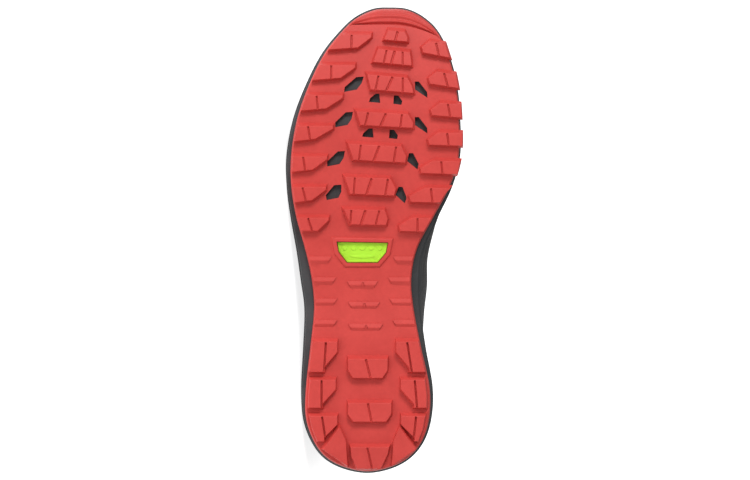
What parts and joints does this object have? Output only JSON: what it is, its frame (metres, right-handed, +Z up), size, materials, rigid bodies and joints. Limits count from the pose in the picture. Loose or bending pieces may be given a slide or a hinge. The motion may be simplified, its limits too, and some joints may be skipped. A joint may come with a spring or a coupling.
{
  "type": "trail running shoe",
  "caption": "Low-cut trail running shoe for the right foot, lying on its outer side, with a lugged rubber outsole, foam midsole, textile upper and crossed laces.",
  "frame": {"origin": "on the floor, under the middle of the box round the shoe as it lies on its outer side", "axes": "+X from the toe to the heel, -Y where the sole faces, +Z up from the floor to the inner side of the foot"},
  "size_m": [0.2994, 0.1224, 0.1165],
  "materials": {
    "red_rubber": "satin",
    "lime_rubber": "satin",
    "grey_foam": "matt",
    "grey_textile": "matt",
    "black_mesh": "matt",
    "black_pad": "matt",
    "black_film": "satin",
    "grey_cord": "matt"
  },
  "bodies": {
    "root": {"outsole": "red_rubber", "badge_insert": "lime_rubber", "midsole": "grey_foam", "insole": "grey_textile", "upper": "black_mesh", "tongue": "black_pad", "toe_rand": "black_film", "heel_counter": "black_film", "eyestay": "black_film", "laces": "grey_cord"}
  },
  "joints": []
}
